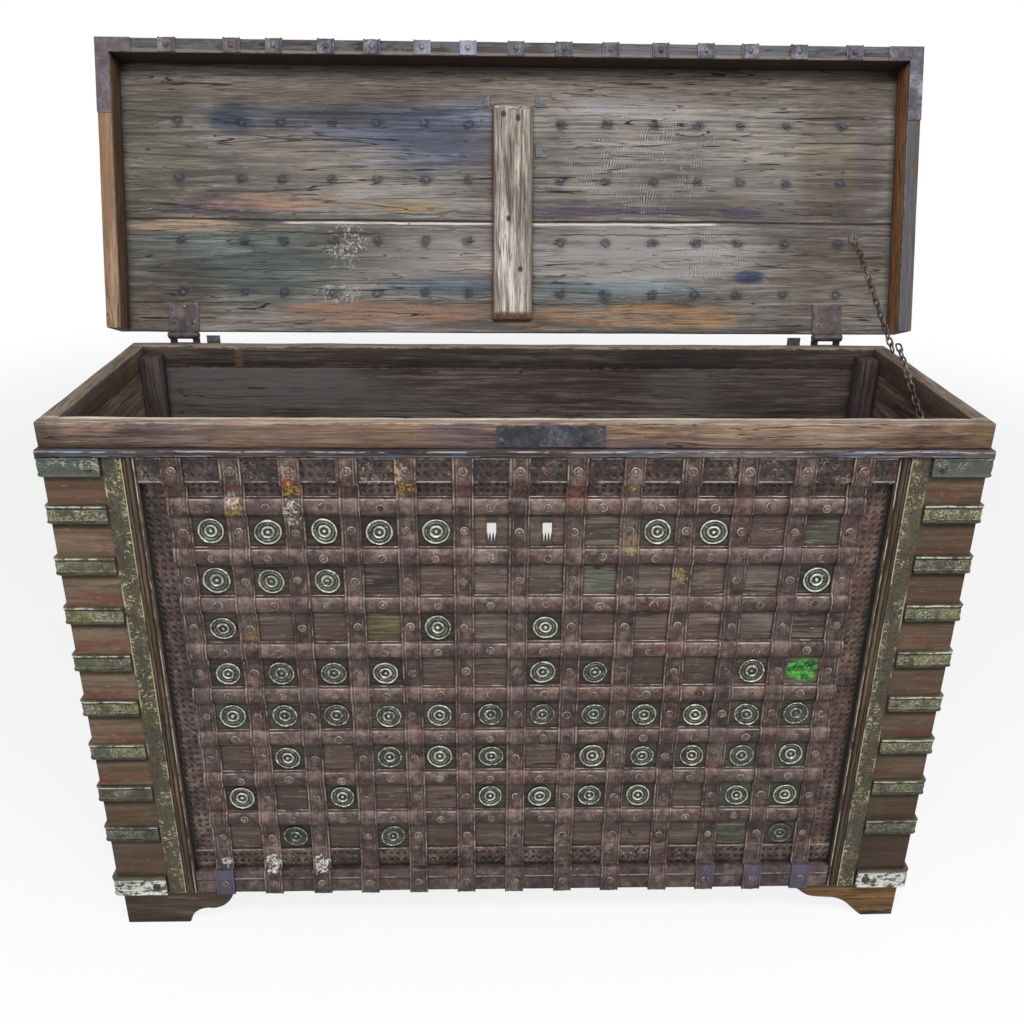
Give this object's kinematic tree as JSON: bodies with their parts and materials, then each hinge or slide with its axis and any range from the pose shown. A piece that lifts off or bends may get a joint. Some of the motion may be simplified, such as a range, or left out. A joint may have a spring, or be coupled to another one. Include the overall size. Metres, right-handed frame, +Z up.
{
  "type": "chest",
  "caption": "Iron-clad plank dowry chest on bracket feet: strap-and-roundel lattice front, banded corners, and a shoebox lid thrown back on hinges and a stay chain.",
  "frame": {"origin": "on the floor, at the middle of the whole outline seen from above, lid thrown back", "axes": "+X to the right seen from the front, +Y to the back, +Z up"},
  "size_m": [1.454, 0.6722, 1.4563],
  "materials": {
    "old_wood": "weathered, worn edges",
    "inside_wood": "dark, dry, unpolished",
    "painted_wood": "worn red-brown paint",
    "pale_wood": "bleached and cracked",
    "rusted_iron": "rusted brown, rubbed on the edges",
    "painted_iron": "worn green, yellow and cream paint over rust",
    "dark_iron": "dark grey-blue, dull",
    "verdigris_brass": "green patina with cream paint on the rings",
    "chain_iron": "rusted"
  },
  "bodies": {
    "carcase": {"front_boards": "old_wood", "stile_left": "painted_wood", "stile_right": "painted_wood", "side_boards_left": "old_wood", "side_boards_right": "old_wood", "back_boards": "old_wood", "floor_boards": "inside_wood", "corner_posts": "inside_wood", "rim_front": "old_wood", "rim_rear": "old_wood", "rim_left": "old_wood", "rim_right": "old_wood", "lip_moulding": "old_wood", "top_rail": "old_wood", "bottom_rail": "old_wood", "foot_front_left": "old_wood", "foot_front_right": "old_wood", "foot_rear_left": "old_wood", "foot_rear_right": "old_wood", "upright_straps": "rusted_iron", "level_straps": "rusted_iron", "top_border_sheet": "rusted_iron", "bottom_border_sheet": "rusted_iron", "side_sheets": "rusted_iron", "strap_rivets": "rusted_iron", "roundels": "verdigris_brass", "roundel_nails": "verdigris_brass", "hasp_keepers": "dark_iron", "stile_beads": "painted_wood", "embossed_strips": "painted_iron", "corner_bands_left": "painted_iron", "corner_bands_right": "painted_iron", "corner_caps": "painted_iron", "base_bands": "painted_iron", "corner_rivets": "painted_iron", "rim_plate": "dark_iron", "board_nails": "rusted_iron", "hinge_back_leaf_left": "rusted_iron", "hinge_back_leaf_right": "rusted_iron", "hinge_pins": "rusted_iron", "hinge_nails_back": "rusted_iron", "back_tabs": "dark_iron", "wall_chain_eye": "chain_iron"},
    "lid": {"lid_boards": "old_wood", "lid_skirt_front": "old_wood", "lid_skirt_left": "old_wood", "lid_skirt_right": "old_wood", "lid_batten": "pale_wood", "lid_straps": "rusted_iron", "lid_rivets": "rusted_iron", "lid_clinched_nails": "rusted_iron", "lid_corner_plates": "dark_iron", "lid_clinch_plates": "dark_iron", "hinge_lid_leaf_left": "rusted_iron", "hinge_lid_leaf_right": "rusted_iron", "hinge_nails_lid": "rusted_iron", "lid_chain_eye": "chain_iron"},
    "chain_from_lid": {"chain_upper": "chain_iron"},
    "chain_from_wall": {"chain_lower": "chain_iron"}
  },
  "joints": [
    {"name": "lid_hinge", "type": "hinge", "parent": "carcase", "child": "lid", "pos_m": [0, 0.14992, 0.959], "axis": [1, 0, 0], "range_deg": [0, 108]},
    {"name": "chain_on_lid_eye", "type": "hinge", "parent": "lid", "child": "chain_from_lid", "pos_m": [0.632, 0.20109, 1.13269], "axis": [1, 0, 0], "range_deg": [-54, 0]},
    {"name": "chain_on_wall_eye", "type": "hinge", "parent": "carcase", "child": "chain_from_wall", "pos_m": [0.659, -0.23808, 0.85], "axis": [1, 0, 0], "range_deg": [-70.4, 0]}
  ],
  "couplings": [
    {"joint": "chain_on_lid_eye", "follows": "lid_hinge", "ratio": -0.49786},
    {"joint": "chain_on_wall_eye", "follows": "lid_hinge", "ratio": -0.65007}
  ]
}
